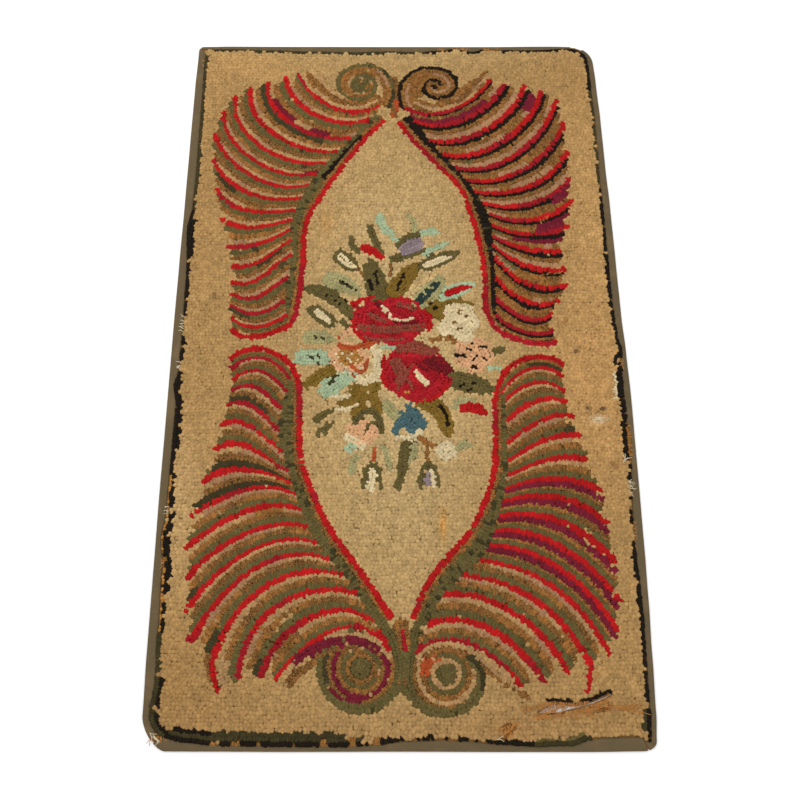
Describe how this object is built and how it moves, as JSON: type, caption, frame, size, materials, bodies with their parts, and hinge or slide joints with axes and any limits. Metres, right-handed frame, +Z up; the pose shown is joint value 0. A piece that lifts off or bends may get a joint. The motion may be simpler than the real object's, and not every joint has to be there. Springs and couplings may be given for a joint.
{
  "type": "hooked rug",
  "caption": "Rectangular hooked rug lying flat, with scrolled plumes round a flower bouquet and a folded tape binding on all edges, worn and torn with age.",
  "frame": {"origin": "on the floor under the middle of the rug's overall box", "axes": "+X across the rug, +Y along its length, +Z up from the floor"},
  "size_m": [0.9314, 1.53, 0.0086],
  "materials": {
    "wool_pile": "looped wool pile, matt, oat ground with red, olive, brown, plum and black yarns",
    "binding_tape": "worn twill tape, matt",
    "foundation": "plain-woven jute, matt, frayed at the tear"
  },
  "bodies": {
    "root": {"hooked_panel": "wool_pile", "binding_bottom": "binding_tape", "binding_right": "binding_tape", "binding_top": "binding_tape", "binding_left": "binding_tape"}
  },
  "joints": []
}
